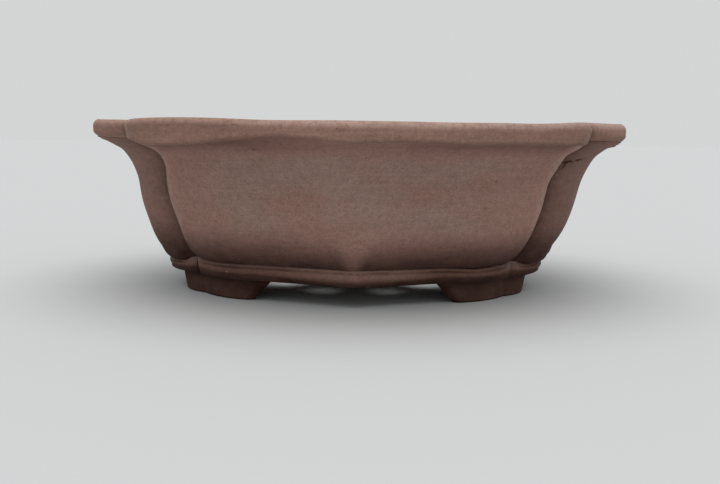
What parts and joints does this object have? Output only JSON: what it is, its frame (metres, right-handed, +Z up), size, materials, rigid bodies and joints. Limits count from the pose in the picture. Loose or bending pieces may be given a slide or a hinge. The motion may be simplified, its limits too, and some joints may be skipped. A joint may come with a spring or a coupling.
{
  "type": "bonsai pot",
  "caption": "Low stoneware bonsai pot with a four-lobed bracket outline, flaring wall, everted lip, base moulding, corner feet and drainage holes.",
  "frame": {"origin": "middle of the four feet, on the surface that the pot stands on", "axes": "+X along the length of the pot, -Y towards its front, +Z up"},
  "size_m": [0.2044, 0.1654, 0.0623],
  "materials": {
    "wall_clay": "matte",
    "lip_clay": "matte",
    "base_clay": "matte"
  },
  "bodies": {
    "root": {"floor_slab": "base_clay", "wall_front": "wall_clay", "wall_right": "wall_clay", "wall_back": "wall_clay", "wall_left": "wall_clay", "rim_strip_front": "lip_clay", "rim_strip_right": "lip_clay", "rim_strip_back": "lip_clay", "rim_strip_left": "lip_clay", "base_moulding_front": "base_clay", "base_moulding_right": "base_clay", "base_moulding_back": "base_clay", "base_moulding_left": "base_clay", "foot_front_right": "base_clay", "foot_back_right": "base_clay", "foot_back_left": "base_clay", "foot_front_left": "base_clay"}
  },
  "joints": []
}
